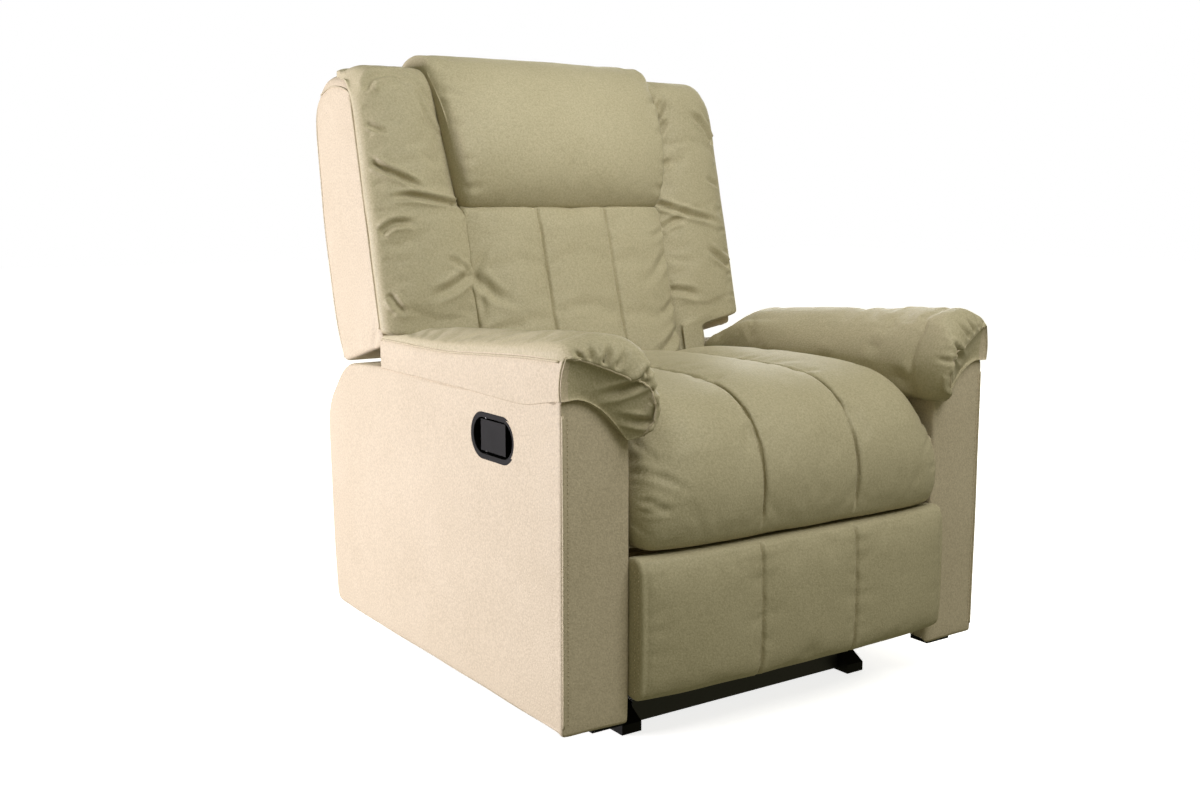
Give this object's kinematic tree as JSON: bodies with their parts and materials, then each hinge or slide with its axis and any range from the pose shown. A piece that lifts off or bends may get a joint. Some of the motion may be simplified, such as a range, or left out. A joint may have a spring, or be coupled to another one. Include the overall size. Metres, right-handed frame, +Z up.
{
  "type": "recliner armchair",
  "caption": "Padded leather-covered recliner armchair with channelled seat and back, pillow arms, a fold-out footrest and a cup release handle.",
  "frame": {"origin": "on the floor under the middle of the chair", "axes": "+Z up, the sitter faces -Y, +X is the sitter's left"},
  "size_m": [0.796, 0.868, 1.002],
  "materials": {
    "black_steel": "satin black powder coat",
    "zinc_steel": "zinc plated pressed steel",
    "bare_steel": "bright steel",
    "black_plastic": "fine moulded texture",
    "timber": "bare plywood and pine",
    "cover_board": "cream bonded leather stretched over board",
    "cover_pad": "cream bonded leather over foam and fibre",
    "webbing": "woven elastic webbing"
  },
  "bodies": {
    "base": {"base_rails": "black_steel", "base_cross_tubes": "black_steel", "base_toe_caps": "black_plastic", "base_floor_pads": "black_plastic", "mechanism_side_plates": "black_steel", "arm_brackets": "black_steel", "arm_outer_panel_left": "cover_board", "arm_outer_panel_right": "cover_board", "arm_inner_panels": "cover_board", "arm_front_panels": "cover_board", "arm_rear_panels": "cover_board", "arm_posts": "timber", "arm_bottom_boards": "timber", "arm_top_boards": "timber", "arm_front_glides": "black_plastic", "arm_pad_left": "cover_pad", "arm_pad_right": "cover_pad", "rear_apron": "cover_board", "release_handle_cup": "black_plastic", "handle_pin": "bare_steel", "handle_return_spring": "bare_steel", "release_cable": "black_plastic", "cable_clip": "black_plastic", "lever_pin": "bare_steel"},
    "handle": {"release_handle": "black_plastic"},
    "lever": {"release_lever": "zinc_steel"},
    "seat": {"seat_plates": "zinc_steel", "seat_guide_pins": "bare_steel", "linkage_seat_pins": "bare_steel", "seat_side_rails": "timber", "seat_cross_rails": "timber", "seat_springs": "bare_steel", "seat_cushion": "cover_pad"},
    "hook": {"latch_hook": "zinc_steel"},
    "back": {"back_stiles": "timber", "back_brackets": "zinc_steel", "back_pivot_pins": "bare_steel", "back_top_rail": "timber", "back_bottom_rail": "timber", "back_webbing": "webbing", "back_outer_panel": "cover_board", "back_side_panels": "cover_board", "back_wing_boards": "timber", "head_pillow": "cover_pad", "lumbar_cushion": "cover_pad", "back_bolster_left": "cover_pad", "back_bolster_right": "cover_pad"},
    "drive_arms": {"drive_links": "zinc_steel", "drive_link_pins": "bare_steel", "drive_tube": "zinc_steel"},
    "rear_arms": {"rear_links": "zinc_steel", "rear_link_pins": "bare_steel"},
    "front_arms": {"front_links": "zinc_steel", "front_link_pins": "bare_steel"},
    "ottoman_arms": {"ottoman_links": "zinc_steel", "ottoman_link_pins": "bare_steel"},
    "footrest": {"footrest_brackets": "zinc_steel", "footrest_board": "timber", "footrest_cushion": "cover_pad"}
  },
  "joints": [
    {"name": "seat_slide", "type": "slide", "parent": "base", "child": "seat", "axis": [0, -1, 0], "range_m": [0, 0.045]},
    {"name": "back_recline", "type": "hinge", "parent": "seat", "child": "back", "pos_m": [0, 0.17, 0.215], "axis": [-1, 0, 0], "range_deg": [0, 40.01]},
    {"name": "footrest_extend", "type": "hinge", "parent": "seat", "child": "drive_arms", "pos_m": [0, -0.22658, 0.26198], "axis": [-1, 0, 0], "range_deg": [0, 116.85]},
    {"name": "rear_link_swing", "type": "hinge", "parent": "seat", "child": "rear_arms", "pos_m": [0, -0.29168, 0.25], "axis": [-1, 0, 0], "range_deg": [0, 116.36]},
    {"name": "front_link_swing", "type": "hinge", "parent": "rear_arms", "child": "front_arms", "pos_m": [0, -0.18593, 0.09127], "axis": [-1, 0, 0], "range_deg": [-117.93, 0]},
    {"name": "footrest_turn", "type": "hinge", "parent": "front_arms", "child": "footrest", "pos_m": [0, -0.346, 0.19481], "axis": [-1, 0, 0], "range_deg": [0, 96.62]},
    {"name": "ottoman_link_swing", "type": "hinge", "parent": "drive_arms", "child": "ottoman_arms", "pos_m": [0, -0.10862, 0.13018], "axis": [-1, 0, 0], "range_deg": [-120.42, 0]},
    {"name": "handle_pull", "type": "hinge", "parent": "base", "child": "handle", "pos_m": [-0.388, -0.181, 0.435], "axis": [0, 0, -1], "range_deg": [0, 32], "stiffness_Nm_per_rad": 0.15, "springref_deg": -20.05, "deforming": ["handle_return_spring"]},
    {"name": "lever_swing", "type": "hinge", "parent": "base", "child": "lever", "pos_m": [-0.2455, -0.01, 0.208], "axis": [1, 0, 0], "range_deg": [0, 16.02]},
    {"name": "latch_lift", "type": "hinge", "parent": "seat", "child": "hook", "pos_m": [-0.2455, -0.095, 0.2], "axis": [-1, 0, 0], "range_deg": [0, 15.02]}
  ],
  "couplings": [
    {"joint": "back_recline", "follows": "seat_slide", "rad_per_m": 15.514},
    {"joint": "rear_link_swing", "follows": "footrest_extend", "ratio": 0.99538},
    {"joint": "front_link_swing", "follows": "footrest_extend", "ratio": -1.0088},
    {"joint": "footrest_turn", "follows": "footrest_extend", "ratio": 0.82644},
    {"joint": "ottoman_link_swing", "follows": "footrest_extend", "ratio": -1.0301},
    {"joint": "lever_swing", "follows": "handle_pull", "ratio": 0.5},
    {"joint": "latch_lift", "follows": "handle_pull", "ratio": 0.46875}
  ]
}
